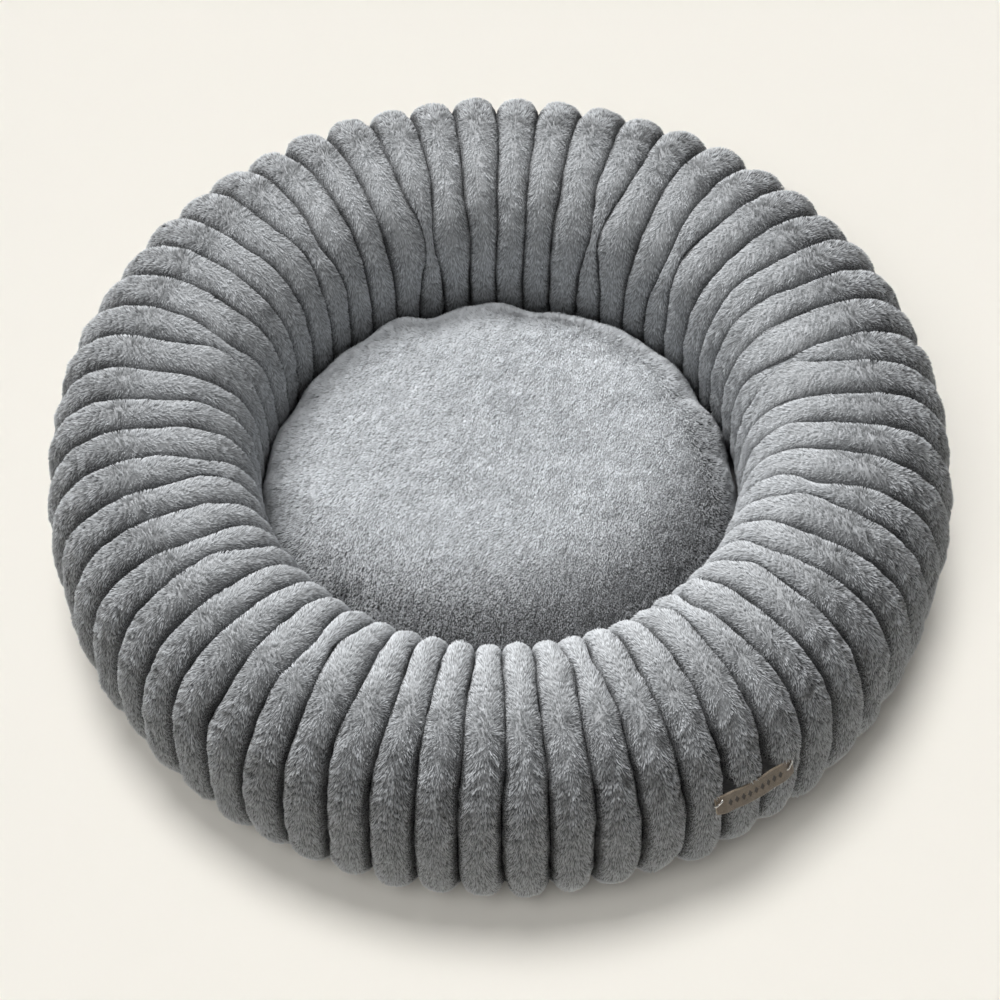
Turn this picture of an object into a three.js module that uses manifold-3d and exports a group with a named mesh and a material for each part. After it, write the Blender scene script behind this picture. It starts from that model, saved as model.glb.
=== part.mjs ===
// A round pet bed: a ring bolster of ribbed plush on a flat base, with a loose round cushion in its well.
// Millimetres, +Z up, -Y is the front. The origin is the centre of the underside.

import * as THREE from 'three';
import { mergeVertices } from 'three/addons/utils/BufferGeometryUtils.js';
import Module from 'manifold-3d';

const wasm = await Module();
wasm.setup();

// ---- Driving dimensions ----

const bedRadius = 300;
const bedHeight = 166;
const roundSides = 48; // sides of each turned piece, so that nested pieces stay parallel
const gap = 0.3; // between pieces that touch

const tubeWidth = 141; // the bolster's section, across
const tubeBottom = 1.5; // height of the bolster's lowest point
const squareness = 2.6; // superellipse exponent of the section: 2 is an ellipse
const plushThickness = 5;
const liningThickness = 1;
const sectionStep = 22.5; // degrees round the section between its points
const outerSeamAngle = -3 * sectionStep; // where the cover is sewn to the base, outside
const innerSeamAngle = 11 * sectionStep; // and in the well

const clothThickness = 1;
const baseRadius = 258;
const waddingThickness = 3;
const waddingRadius = 192;
const wellFloorRadius = 200;
const bindingWidth = 4;
const bindingHeight = 4.5;

const cushionRadius = 150;
const cushionCrown = 92; // height of the cushion's middle
const cushionSkirt = 36; // height where the plush panel meets the side band
const cushionSquareness = 3.2;
const cushionPlush = 4;
const sideBandRadius = 149.5;
const sideBandThickness = 1.5;

const zipHeight = 20; // height of the zip's middle line
const zipAzimuth = 90; // degrees from +X: the zip is at the back
const zipHalfAngle = 36; // half of the coils' arc
const zipSlotHeight = 12;
const tapeWidth = 7.2;
const tapeSplit = 1.6; // between the two tapes
const tapeThickness = 1;
const coilWidth = 2.25;
const coilThickness = 2;
const stopLength = 2;

const sliderLength = 9;
const sliderWidth = 9;
const sliderPlate = 1.2;
const sliderLip = 1.8; // width of the edges that reach round the coils
const sliderLipDepth = 2.2;
const sliderAzimuth = 56.5; // the closed end, where the slider rests
const bridgeLength = 6.4;
const bridgeHoleLength = 4;
const bridgeWidth = 1.6;
const bridgeHeight = 2.8;
const bridgeHoleHeight = 1.6;
const pullLength = 14;
const pullThickness = 0.9;
const pullAxisHeight = 2; // above the slider's inner face
const pullEyeLength = 3.9;

const labelAzimuth = -58.3;
const labelLength = 58;
const labelWidth = 15;
const labelThickness = 1.6;
const labelHeight = 105; // height of the label's middle line
const stapleRadius = 0.6;
const stapleLength = 6;
const stapleSlant = 35; // degrees from the label's length
const stapleInset = 2.5; // from the label's end to the staple's middle

// ---- Materials ----

const material = (color, roughness, metalness = 0) =>
  new THREE.MeshStandardMaterial({ color, roughness, metalness });

const plush = material(0x8b9294, 0.95);
const lining = material(0xb9bcbd, 0.9);
const fibre = material(0xf0f0ee, 1);
const baseFabric = material(0x4a4e51, 0.85);
const felt = material(0xd6d6d2, 1);
const tapeFabric = material(0x6c7275, 0.9);
const nylon = material(0x5b6063, 0.45);
const zipMetal = material(0x8e9091, 0.35, 1);
const leather = material(0x74665a, 0.6);
const stapleMetal = material(0xd9dadb, 0.2, 1);

// ---- Shapes ----

const bed = new THREE.Group();

function addPiece(name, geometry, surface, parent = bed) {
  const mesh = new THREE.Mesh(geometry, surface);
  mesh.name = name;
  parent.add(mesh);
  return mesh;
}

// Turns a profile of (radius, height) points about +Z. The profile runs anticlockwise.
function turned(profile) {
  return new THREE.LatheGeometry(profile, roundSides).rotateX(Math.PI / 2);
}

function disc(radius, bottom, thickness) {
  const profile = [
    new THREE.Vector2(0, bottom),
    new THREE.Vector2(radius, bottom),
    new THREE.Vector2(radius, bottom + thickness),
    new THREE.Vector2(0, bottom + thickness),
  ];
  return turned(profile);
}

function ringBand(innerRadius, outerRadius, bottom, top) {
  const profile = [
    new THREE.Vector2(innerRadius, bottom),
    new THREE.Vector2(outerRadius, bottom),
    new THREE.Vector2(outerRadius, top),
    new THREE.Vector2(innerRadius, top),
    new THREE.Vector2(innerRadius, bottom),
  ];
  return turned(profile);
}

// Part of a ring, between two azimuths in degrees.
function arcBand(innerRadius, outerRadius, fromAzimuth, toAzimuth, bottom, top, steps) {
  const from = THREE.MathUtils.degToRad(fromAzimuth);
  const to = THREE.MathUtils.degToRad(toAzimuth);
  const outline = new THREE.Shape();
  outline.absarc(0, 0, outerRadius, from, to, false);
  outline.absarc(0, 0, innerRadius, to, from, true);
  const options = { depth: top - bottom, bevelEnabled: false, curveSegments: steps };
  return new THREE.ExtrudeGeometry(outline, options).translate(0, 0, bottom);
}

const signedPower = (value, power) => Math.sign(value) * Math.abs(value) ** power;

// A point of the bolster's section at a turn round it in degrees: 0 is outermost and 90 is the crest.
function sectionPoint(degrees, inset) {
  const angle = THREE.MathUtils.degToRad(degrees);
  const halfWidth = tubeWidth / 2;
  const halfHeight = (bedHeight - tubeBottom) / 2;
  return new THREE.Vector2(
    bedRadius - halfWidth + (halfWidth - inset) * signedPower(Math.cos(angle), 2 / squareness),
    tubeBottom + halfHeight + (halfHeight - inset) * signedPower(Math.sin(angle), 2 / squareness),
  );
}

function sectionArc(from, to, inset) {
  const points = [];
  for (let degrees = from; degrees <= to; degrees += sectionStep) {
    points.push(sectionPoint(degrees, inset));
  }
  return points;
}

// A skin of the bolster that is open along the bottom, between its two seams.
function bolsterSkin(inset, thickness) {
  const outside = sectionArc(outerSeamAngle, innerSeamAngle, inset);
  const inside = sectionArc(outerSeamAngle, innerSeamAngle, inset + thickness).reverse();
  return turned([...outside, ...inside, outside[0].clone()]);
}

// ---- Solids that are cut or joined ----

function toSolid(geometry) {
  const bare = geometry.clone();
  bare.deleteAttribute('normal');
  bare.deleteAttribute('uv');
  const merged = mergeVertices(bare);
  const mesh = new wasm.Mesh({
    numProp: 3,
    vertProperties: new Float32Array(merged.attributes.position.array),
    triVerts: new Uint32Array(merged.index.array),
  });
  mesh.merge();
  return new wasm.Manifold(mesh);
}

function toGeometry(solid) {
  const mesh = solid.getMesh();
  const geometry = new THREE.BufferGeometry();
  geometry.setAttribute('position', new THREE.BufferAttribute(mesh.vertProperties, 3));
  geometry.setIndex(new THREE.BufferAttribute(mesh.triVerts, 1));
  geometry.computeVertexNormals();
  return geometry;
}

// ---- Bolster ----

function addBolster() {
  addPiece('bolster_cover', bolsterSkin(0, plushThickness), plush);
  const liningInset = plushThickness + gap;
  addPiece('bolster_lining', bolsterSkin(liningInset, liningThickness), lining);
  const fillInset = liningInset + liningThickness + gap;
  const fillSection = sectionArc(0, 360 - sectionStep, fillInset);
  addPiece('bolster_fill', turned([...fillSection, fillSection[0].clone()]), fibre);
}

// ---- Base ----

function addBase() {
  addPiece('base_cloth', disc(baseRadius, 0, clothThickness), baseFabric);
  const waddingBottom = clothThickness + gap;
  addPiece('base_wadding', disc(waddingRadius, waddingBottom, waddingThickness), felt);
  const wellFloorBottom = waddingBottom + waddingThickness + gap;
  addPiece('base_top_cloth', disc(wellFloorRadius, wellFloorBottom, clothThickness), lining);
  const bindingInner = baseRadius + gap;
  const bindingBottom = 0.4;
  addPiece(
    'base_binding',
    ringBand(
      bindingInner,
      bindingInner + bindingWidth,
      bindingBottom,
      bindingBottom + bindingHeight,
    ),
    tapeFabric,
  );
  return wellFloorBottom + clothThickness;
}

// ---- Cushion ----

// The crowned side of the cushion, from its skirt up to its middle.
function crownArc(radius, height, steps) {
  const points = [];
  for (let i = 0; i <= steps; i++) {
    const angle = (Math.PI / 2) * (i / steps);
    points.push(
      new THREE.Vector2(
        radius * Math.cos(angle) ** (2 / cushionSquareness),
        cushionSkirt + height * Math.sin(angle) ** (2 / cushionSquareness),
      ),
    );
  }
  points[steps].x = 0;
  return points;
}

function addCushion(wellFloor) {
  const crownSteps = 8;
  const crownRise = cushionCrown - cushionSkirt;
  const outside = crownArc(cushionRadius, crownRise, crownSteps);
  const inside = crownArc(cushionRadius - cushionPlush, crownRise - cushionPlush, crownSteps);
  addPiece('cushion_top', turned([...inside.reverse(), ...outside]), plush);

  const panelBottom = wellFloor + gap;
  const bandBottom = panelBottom + clothThickness + gap;
  const bandInner = sideBandRadius - sideBandThickness;
  addPiece('cushion_bottom', disc(sideBandRadius, panelBottom, clothThickness), baseFabric);

  const slotMargin = 2; // degrees past each end of the coils
  const cutDepth = 5;
  const band = toSolid(ringBand(bandInner, sideBandRadius, bandBottom, cushionSkirt - gap));
  const slot = toSolid(
    arcBand(
      bandInner - cutDepth,
      sideBandRadius + cutDepth,
      zipAzimuth - zipHalfAngle - slotMargin,
      zipAzimuth + zipHalfAngle + slotMargin,
      zipHeight - zipSlotHeight / 2,
      zipHeight + zipSlotHeight / 2,
      12,
    ),
  );
  addPiece('cushion_side_band', toGeometry(band.subtract(slot)), baseFabric);

  const fillRadius = 145;
  const fillTop = crownArc(fillRadius, crownRise - cushionPlush - gap, crownSteps);
  const fillProfile = [
    new THREE.Vector2(0, bandBottom),
    new THREE.Vector2(fillRadius, bandBottom),
    ...fillTop,
  ];
  addPiece('cushion_fill', turned(fillProfile), fibre);
}

// ---- Zip ----

const coilOuter = sideBandRadius + 0.1;
const coilInner = coilOuter - coilThickness;
const coilOffset = 0.15; // half of the space between the two coils
const coilTop = coilOffset + coilWidth;

function addZip() {
  const tapeMargin = 4; // degrees past each end of the coils, behind the side band
  const tapeOuter = coilInner - gap;
  for (const [name, side] of [['lower', -1], ['upper', 1]]) {
    const nearEdge = zipHeight + (side * tapeSplit) / 2;
    const farEdge = nearEdge + side * tapeWidth;
    addPiece(
      `zip_tape_${name}`,
      arcBand(
        tapeOuter - tapeThickness,
        tapeOuter,
        zipAzimuth - zipHalfAngle - tapeMargin,
        zipAzimuth + zipHalfAngle + tapeMargin,
        Math.min(nearEdge, farEdge),
        Math.max(nearEdge, farEdge),
        20,
      ),
      tapeFabric,
    );
    const coilNear = zipHeight + side * coilOffset;
    const coilFar = zipHeight + side * coilTop;
    addPiece(
      `zip_coil_${name}`,
      arcBand(
        coilInner,
        coilOuter,
        zipAzimuth - zipHalfAngle,
        zipAzimuth + zipHalfAngle,
        Math.min(coilNear, coilFar),
        Math.max(coilNear, coilFar),
        20,
      ),
      nylon,
    );
  }
  const stopGap = THREE.MathUtils.radToDeg(gap / coilOuter);
  const stopAngle = THREE.MathUtils.radToDeg(stopLength / coilOuter);
  for (const [name, side] of [['closed', -1], ['open', 1]]) {
    const near = zipAzimuth + side * (zipHalfAngle + stopGap);
    const far = near + side * stopAngle;
    addPiece(
      `zip_stop_${name}`,
      arcBand(
        coilInner,
        coilOuter,
        Math.min(near, far),
        Math.max(near, far),
        zipHeight - coilTop,
        zipHeight + coilTop,
        2,
      ),
      zipMetal,
    );
  }
}

// A rectangle from (left, low) to (right, high) with cut corners.
function cutCornerPath(path, left, low, right, high, cut) {
  path.moveTo(left + cut, low);
  path.lineTo(right - cut, low);
  path.lineTo(right, low + cut);
  path.lineTo(right, high - cut);
  path.lineTo(right - cut, high);
  path.lineTo(left + cut, high);
  path.lineTo(left, high - cut);
  path.lineTo(left, low + cut);
  path.closePath();
  return path;
}

// In the slider's own frame, +X points out of the cushion, +Y up, and +Z along the zip.
function sliderGeometry() {
  const half = sliderWidth / 2;
  const channel = new THREE.Shape([
    new THREE.Vector2(-sliderLipDepth, -half),
    new THREE.Vector2(sliderPlate, -half),
    new THREE.Vector2(sliderPlate, half),
    new THREE.Vector2(-sliderLipDepth, half),
    new THREE.Vector2(-sliderLipDepth, half - sliderLip),
    new THREE.Vector2(0, half - sliderLip),
    new THREE.Vector2(0, -half + sliderLip),
    new THREE.Vector2(-sliderLipDepth, -half + sliderLip),
  ]);
  const channelOptions = { depth: sliderLength, bevelEnabled: false };
  const body = new THREE.ExtrudeGeometry(channel, channelOptions).translate(0, 0, -sliderLength / 2);

  const sunk = 0.5; // how far the bridge's legs go into the plate
  const legTop = sliderPlate + bridgeHeight;
  const arch = new THREE.Shape();
  arch.moveTo(-bridgeLength / 2, sliderPlate - sunk);
  arch.lineTo(-bridgeHoleLength / 2, sliderPlate - sunk);
  arch.lineTo(-bridgeHoleLength / 2, sliderPlate + bridgeHoleHeight);
  arch.lineTo(bridgeHoleLength / 2, sliderPlate + bridgeHoleHeight);
  arch.lineTo(bridgeHoleLength / 2, sliderPlate - sunk);
  arch.lineTo(bridgeLength / 2, sliderPlate - sunk);
  arch.lineTo(bridgeLength / 2, legTop - 1);
  arch.lineTo(bridgeLength / 2 - 1, legTop);
  arch.lineTo(-bridgeLength / 2 + 1, legTop);
  arch.lineTo(-bridgeLength / 2, legTop - 1);
  arch.closePath();
  const bridgeOptions = { depth: bridgeWidth, bevelEnabled: false };
  const bridge = new THREE.ExtrudeGeometry(arch, bridgeOptions);
  bridge.translate(0, 0, -bridgeWidth / 2);
  bridge.applyMatrix4(
    new THREE.Matrix4().makeBasis(
      new THREE.Vector3(0, 0, 1),
      new THREE.Vector3(1, 0, 0),
      new THREE.Vector3(0, 1, 0),
    ),
  );
  return toGeometry(toSolid(body).add(toSolid(bridge)));
}

function pullGeometry() {
  const barHalf = 0.5;
  const eyeHalf = 1.2;
  const armHalf = 2.2;
  const outline = cutCornerPath(new THREE.Shape(), -armHalf, -barHalf, armHalf, pullLength, 0.4);
  outline.holes.push(
    cutCornerPath(new THREE.Path(), -eyeHalf, barHalf, eyeHalf, barHalf + pullEyeLength, 0.3),
  );
  const options = { depth: pullThickness, bevelEnabled: false };
  const plate = new THREE.ExtrudeGeometry(outline, options);
  plate.translate(0, 0, pullAxisHeight - pullThickness / 2);
  plate.applyMatrix4(
    new THREE.Matrix4().makeBasis(
      new THREE.Vector3(0, 1, 0),
      new THREE.Vector3(0, 0, 1),
      new THREE.Vector3(1, 0, 0),
    ),
  );
  return plate;
}

// A group at an azimuth, radius and height, with +X out of the bed, +Y up and +Z clockwise round it.
function outwardGroup(azimuth, radius, height) {
  const angle = THREE.MathUtils.degToRad(azimuth);
  const outward = new THREE.Vector3(Math.cos(angle), Math.sin(angle), 0);
  const up = new THREE.Vector3(0, 0, 1);
  const along = new THREE.Vector3().crossVectors(outward, up);
  const group = new THREE.Group();
  group.setRotationFromMatrix(new THREE.Matrix4().makeBasis(outward, up, along));
  group.position.copy(outward).multiplyScalar(radius).setZ(height);
  bed.add(group);
  return group;
}

function addSlider() {
  const group = outwardGroup(sliderAzimuth, coilOuter + gap, zipHeight);
  addPiece('zip_slider', sliderGeometry(), zipMetal, group);
  addPiece('zip_pull', pullGeometry(), zipMetal, group);
}

// ---- Label ----

function addLabel() {
  const innerRadius = bedRadius + gap;
  const outerRadius = innerRadius + labelThickness;
  const halfAngle = THREE.MathUtils.radToDeg(labelLength / 2 / innerRadius);
  addPiece(
    'label_strip',
    arcBand(
      innerRadius,
      outerRadius,
      labelAzimuth - halfAngle,
      labelAzimuth + halfAngle,
      labelHeight - labelWidth / 2,
      labelHeight + labelWidth / 2,
      8,
    ),
    leather,
  );
  const inset = THREE.MathUtils.radToDeg(stapleInset / innerRadius);
  for (const [name, side] of [['left', -1], ['right', 1]]) {
    const azimuth = labelAzimuth + side * (halfAngle - inset);
    const group = outwardGroup(azimuth, outerRadius + gap + stapleRadius, labelHeight);
    const wire = new THREE.CapsuleGeometry(stapleRadius, stapleLength - 2 * stapleRadius, 3, 8);
    wire.rotateX(THREE.MathUtils.degToRad(stapleSlant - 90));
    addPiece(`label_staple_${name}`, wire, stapleMetal, group);
  }
}

addBolster();
const wellFloor = addBase();
addCushion(wellFloor);
addZip();
addSlider();
addLabel();

export default bed;
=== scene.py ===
"""Looks of a round pet bed: a ring bolster of ribbed plush on a flat base, and a loose plush cushion."""
import math

import bpy
import numpy as np
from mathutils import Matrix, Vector


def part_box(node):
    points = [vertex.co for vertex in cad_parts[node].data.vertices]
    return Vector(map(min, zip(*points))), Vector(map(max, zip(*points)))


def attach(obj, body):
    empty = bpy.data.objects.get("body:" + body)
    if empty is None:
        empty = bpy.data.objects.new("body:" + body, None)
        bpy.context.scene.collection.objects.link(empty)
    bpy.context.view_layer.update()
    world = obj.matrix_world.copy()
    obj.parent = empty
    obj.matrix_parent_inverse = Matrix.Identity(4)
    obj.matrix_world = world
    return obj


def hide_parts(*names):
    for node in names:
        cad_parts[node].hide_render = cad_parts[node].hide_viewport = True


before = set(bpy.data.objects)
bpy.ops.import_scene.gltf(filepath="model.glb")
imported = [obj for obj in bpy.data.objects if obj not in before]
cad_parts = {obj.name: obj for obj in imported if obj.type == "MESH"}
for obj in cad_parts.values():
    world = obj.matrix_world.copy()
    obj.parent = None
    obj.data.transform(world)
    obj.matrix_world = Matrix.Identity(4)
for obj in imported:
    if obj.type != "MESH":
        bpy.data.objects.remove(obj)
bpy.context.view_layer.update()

# ---- Driving sizes, in metres and degrees; the rest comes from the frame ----

RIBS = 60
TUBE_WIDTH = 0.141
TUBE_BOTTOM = 0.0015
SQUARENESS = 2.6
OUTER_SEAM = -67.5       # turns round the bolster's section: 0 is outermost, 90 the crest
INNER_SEAM = 247.5
PILE = 0.0024            # how far the pile stands out of its backing
RIB_STEPS = 12           # faces across one rib
SHOWN_ROWS = 128         # faces round the section, from seam to seam
HIDDEN_ROWS = 5          # faces along the underside, inside the bed
RIB_DEPTH = 0.46         # depth of a groove for each unit of rib width
FRONT_CROWDING = 0.07    # radians by which ribs near the sides are moved towards the front
RIB_START = 0.6          # degrees from the front middle to the first groove
GROOVE_END = 0.024       # from a seam to where the grooves have their full depth

# Where a rib is pinched between its neighbours: azimuth, turn round the section, reach, strength.
PINCHES = (
    (13, 118, 26, 0.90),
    (51, 132, 30, 0.55),
    (70, 140, 28, 0.85),
    (105, 150, 28, 0.85),
    (134, 125, 22, 0.50),
    (161, 122, 20, 0.75),
    (192, 118, 18, 0.45),
    (213, 98, 14, 0.40),
    (242, 100, 14, 0.50),
    (283, 106, 13, 0.40),
    (305, 118, 15, 0.55),
    (322, 108, 14, 0.45),
    (344, 100, 11, 0.50),
)

# Where the grooves flatten out on the well side: azimuth, reach, first turn, share of the depth lost.
FLAT_GROOVES = (
    (6, 30, 98, 0.80),
    (176, 26, 112, 0.50),
    (335, 20, 104, 0.35),
)

CUSHION_CELLS = 64       # cells of cloth across the cushion's plush panel
CUSHION_OVERHANG = 0.006 # how far the plush panel bulges past the seam below it
CUSHION_WAIST = 0.062    # height where the cushion is widest
CUSHION_SQUARENESS = 3.0
CUSHION_PILE = 0.003
CUSHION_BULGE = 0.006    # the furthest that the simulation may move the cloth
NAP_HEADING = 250        # degrees from +X towards which the cushion's pile lies
COMBED_HEADING = 255     # degrees from +X along which the cushion's tufts clump together
SETTLE_STEPS = 20        # steps of the cushion's cloth simulation
PANEL_EXCESS = 0.96      # radius of the cut panel over the length of the panel's profile
LIT_MIDDLE = (-0.022, 0.065)  # middle of the part of the cushion left light; away from it the pile gets painted shade, for pile brushed towards the light
LIT_RADII = (0.115, 0.205)  # round that middle: where the painted shade starts, and where it is full
PAD_SHRINK = 0.968       # width of the cushion's stuffing over the plush panel's
PAD_BOTTOM_SHRINK = 0.975  # width of the stuffing's bottom over its top's
PAD_DROP = 0.005         # from the plush panel's crown down to the stuffing's

# Where the bolster presses the cushion's edge down, or props it up: azimuth, reach in degrees, depth.
PRESSES = (
    (224, 7, 0.006),
    (14, 9, 0.007),
    (30, 5, 0.004),
    (345, 6, 0.003),
    (322, 8, 0.008),
    (301, 5, 0.004),
    (108, 5, 0.005),
    (160, 8, 0.004),
    (175, 5, 0.003),
    (262, 8, 0.005),
    (81, 5, 0.004),
    (128, 14, -0.005),
    (58, 11, -0.004),
)

BOLSTER_TUFTS = 1000000
CUSHION_TUFTS = 230000
TUFT_RADIUS = 0.00018
TUFT_ROOT = 0.0004       # how deep a tuft's root lies in the plush's backing
BAG_DEPTH = 0.0035       # from the plush's face in to the bolster's bag
STUFFING_DEPTH = 0.006   # from the plush's face in to the bolster's stuffing

# Thicknesses of the cloths, the tapes and the leather.
BASE_THICKNESS = 0.0004
WELL_FLOOR_THICKNESS = 0.0007
PANEL_THICKNESS = 0.003
BAND_THICKNESS = 0.0009
CUSHION_UNDERSIDE_THICKNESS = 0.0008
TAPE_THICKNESS = 0.0006
LABEL_THICKNESS = 0.0014

WEAVE = 0.0011           # pitch of the woven cloths' threads
GRIP_PITCH = 0.012       # between the grip dots on the underside
GRIP_HEIGHT = 0.0005
GRIP_RADIUS = 0.0016
GRIP_MARGIN = 0.014      # from the dots to the underside's edge
STITCH_PITCH = 0.004
STITCH_RADIUS = 0.00028
TAPE_END = 2             # degrees of each tape's end that are hidden behind the cushion's band
TAPE_SIDE = 0.002        # how much of each tape is hidden behind the band above and below the slot
TOOTH_PITCH = 0.0014     # along the zip
TOOTH_WIRE = 0.0003      # radius of the wire that the zip's teeth are wound from

LABEL_MARKS = 9          # lozenges pressed into the label
LOZENGE = (0.0018, 0.0032)  # half the length and half the height of a lozenge
LABEL_CORNER = 0.0025
LABEL_LEAN = 20          # degrees by which the label's upper edge leans into the bed
LABEL_SINK = 0.0026      # how far the pile lets the label sink in
STAPLE_WIRE = 0.0007     # radius of the staples' wire

# Lamps: name, azimuth, elevation and spread in degrees, strength, and what it lights.
LAMPS = (
    ("overhead", 115, 82, 22, 1.20, "both"),
    ("floor_wash", 115, 82, 22, 0.75, "floor"),
    ("floor_front", 245, 60, 30, 1.15, "floor"),
    ("key", 128, 51, 28, 3.40, "bed"),
    ("fill", 235, 45, 110, 0.42, "bed"),
)
AMBIENT = 0.12
AMBIENT_COLOUR = (1, 0.99, 0.97)
FLOOR_COLOUR = (0.87, 0.84, 0.775)
BACKDROP_COLOUR = (0.92, 0.885, 0.815)

CAMERA_ELEVATION = 53.9
CAMERA_DISTANCE = 2.0
CAMERA_LENS = 107.7
CAMERA_RISE = 0.0265     # the frame's centre is this share of its height below the bed's middle

rng = np.random.default_rng(7)


# ---- Helpers ----

def smooth_step(low, high, value):
    """From 0 at low to 1 at high, with a soft start and end."""
    x = np.clip((value - low) / (high - low), 0, 1)
    return x * x * (3 - 2 * x)


def unit(vectors):
    """The vectors, made 1 long."""
    return vectors / np.maximum(np.linalg.norm(vectors, axis=-1, keepdims=True), 1e-12)


def turned_apart(a, b):
    """Degrees from b to a, from -180 to 180."""
    return (a - b + 180) % 360 - 180


def stacked(*parts):
    """One array of points from their coordinates."""
    return np.stack(np.broadcast_arrays(*parts), -1)


def at_azimuth(radius, azimuth, height):
    """Points from their radius, azimuth in radians and height."""
    return stacked(radius * np.cos(azimuth), radius * np.sin(azimuth), height)


def polar(places):
    """The places' radius, and their azimuth in radians."""
    return np.hypot(places[..., 0], places[..., 1]), np.arctan2(places[..., 1], places[..., 0])


def turned(places, degrees):
    """Flat coordinates along and across a heading."""
    angle = math.radians(degrees)
    x, y = places[..., 0], places[..., 1]
    along = x * math.cos(angle) + y * math.sin(angle)
    across = y * math.cos(angle) - x * math.sin(angle)
    return stacked(along, across, 0.0)


class Noise:
    """Smooth noise from -1 to 1 over space, from a repeating lattice of random values."""

    size = 32

    def __init__(self, seed, parts=1):
        shape = (self.size, self.size, self.size, parts)
        self.lattice = np.random.default_rng(seed).uniform(-1, 1, shape)

    def vector(self, points, scale=1.0):
        """The noise's parts at each point, with a lattice whose cells are as wide as the scale."""
        x = np.asarray(points) / scale
        cell = np.floor(x).astype(int)
        part = x - cell
        part = part * part * (3 - 2 * part)
        total = 0
        for corner in range(8):
            step = np.array([corner & 1, corner >> 1 & 1, corner >> 2 & 1])
            index = (cell + step) % self.size
            weight = np.prod(np.where(step, part, 1 - part), -1)
            total = total + weight[..., None] * self.lattice[index[..., 0], index[..., 1], index[..., 2]]
        return total

    def __call__(self, points, scale=1.0):
        return self.vector(points, scale)[..., 0]


def new_piece(name, points, faces, material):
    """A smooth-shaded mesh object."""
    mesh = bpy.data.meshes.new(name)
    mesh.from_pydata(np.asarray(points).reshape(-1, 3).tolist(), [], faces)
    mesh.materials.append(material)
    mesh.polygons.foreach_set("use_smooth", [True] * len(mesh.polygons))
    mesh.update()
    piece = bpy.data.objects.new(name, mesh)
    bpy.context.scene.collection.objects.link(piece)
    return piece


def mark(piece, name, values):
    """Gives each vertex a value, or a vector of three, that materials can read."""
    values = np.asarray(values, np.float32)
    kind, field = ("FLOAT", "value") if values.ndim == 1 else ("FLOAT_VECTOR", "vector")
    piece.data.attributes.new(name, kind, "POINT").data.foreach_set(field, values.ravel())


def fit(piece, body, slot, *nodes):
    """Puts a piece on its body and hides the CAD nodes that it stands for; the slot is not used."""
    if nodes:
        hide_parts(*nodes)
    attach(piece, body)


def grid_faces(rows, columns, close_rows=False, wraps=True):
    """Faces of a grid whose columns go all the way round if it wraps, and its rows if they close."""
    faces = []
    for i in range(rows if close_rows else rows - 1):
        below = i * columns
        above = (i + 1) % rows * columns
        for j in range(columns if wraps else columns - 1):
            k = (j + 1) % columns
            faces.append((below + j, below + k, above + k, above + j))
    return faces


def grid_normals(grid, wraps=True):
    """Unit normals of a grid of points, and its unit directions along the rows and columns."""
    if wraps:
        across = np.roll(grid, -1, 1) - np.roll(grid, 1, 1)
    else:
        across = np.gradient(grid, axis=1)
    along = np.gradient(grid, axis=0)
    return unit(np.cross(across, along)), unit(across), unit(along)


def shell(front, back, wraps=False, holes=False):
    """Points and faces of the closed shell between two grids; holes are the cells left open."""
    rows, columns = front.shape[:2]
    is_open = np.ones((rows + 1, columns), bool)
    is_open[1:-1] = holes
    if not wraps:
        is_open[:, -1] = True
    behind = rows * columns
    faces = []
    for i in range(rows - 1):
        for j in range(columns):
            if is_open[i + 1, j]:
                continue
            k = (j + 1) % columns
            a, b = i * columns + j, i * columns + k
            c, d = a + columns, b + columns
            faces.append((a, b, d, c))
            faces.append((behind + c, behind + d, behind + b, behind + a))
            sides = ((i, j, a, b), (i + 2, j, d, c), (i + 1, j - 1, c, a), (i + 1, k, b, d))
            for row, column, first, second in sides:
                if is_open[row, column]:
                    faces.append((second, first, behind + first, behind + second))
    return np.concatenate([front.reshape(-1, 3), back.reshape(-1, 3)]), faces


def cloth_sheet(name, grid, thickness, material, cloth, wraps=False, holes=False):
    """A closed sheet of cloth: grid is its face, cloth its own coordinates, holes the cells left open."""
    back = grid - grid_normals(grid, wraps)[0] * thickness
    points, faces = shell(grid, back, wraps, holes)
    used, renumbered = np.unique(faces, return_inverse=True)
    piece = new_piece(name, points[used], renumbered.reshape(-1, 4).tolist(), material)
    flat = np.concatenate([cloth.reshape(-1, 2)] * 2)[used]
    mark(piece, "cloth", np.column_stack([flat, np.zeros(len(flat))]))
    return piece


def disc_grid(cells):
    """A square grid bent into a disc of radius 1, with cells of nearly equal area."""
    side = np.linspace(-1, 1, cells + 1)
    b, a = np.meshgrid(side, side, indexing="ij")
    wide = np.abs(a) > np.abs(b)
    radius = np.where(wide, a, b)
    with np.errstate(divide="ignore", invalid="ignore"):
        angle = np.where(wide, b / a, 2 - a / b) * math.pi / 4
    angle = np.where(radius == 0, 0, angle)
    return stacked(radius * np.cos(angle), radius * np.sin(angle))


def sweep(path, radius, sides):
    """Points and faces of a tube along a path, with flat ends."""
    forward = unit(np.gradient(path, axis=0))
    helper = np.where(np.abs(forward[:, 2:]) < 0.9, [[0, 0, 1]], [[1, 0, 0]])
    right = unit(np.cross(forward, helper))
    up = np.cross(right, forward)
    angle = 2 * math.pi * np.arange(sides) / sides
    ring = np.cos(angle)[None, :, None] * right[:, None] + np.sin(angle)[None, :, None] * up[:, None]
    points = (path[:, None] + radius * ring).reshape(-1, 3)
    faces = [face[::-1] for face in grid_faces(len(path), sides)]
    faces.append(tuple(range(sides)))
    faces.append(tuple(range(len(points) - sides, len(points)))[::-1])
    return points, faces


def joined(parts):
    """Points and faces of several parts as one."""
    points, faces, start = [], [], 0
    for part_points, part_faces in parts:
        points.append(part_points)
        faces.extend(tuple(start + i for i in face) for face in part_faces)
        start += len(part_points)
    return np.concatenate(points), faces


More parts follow.
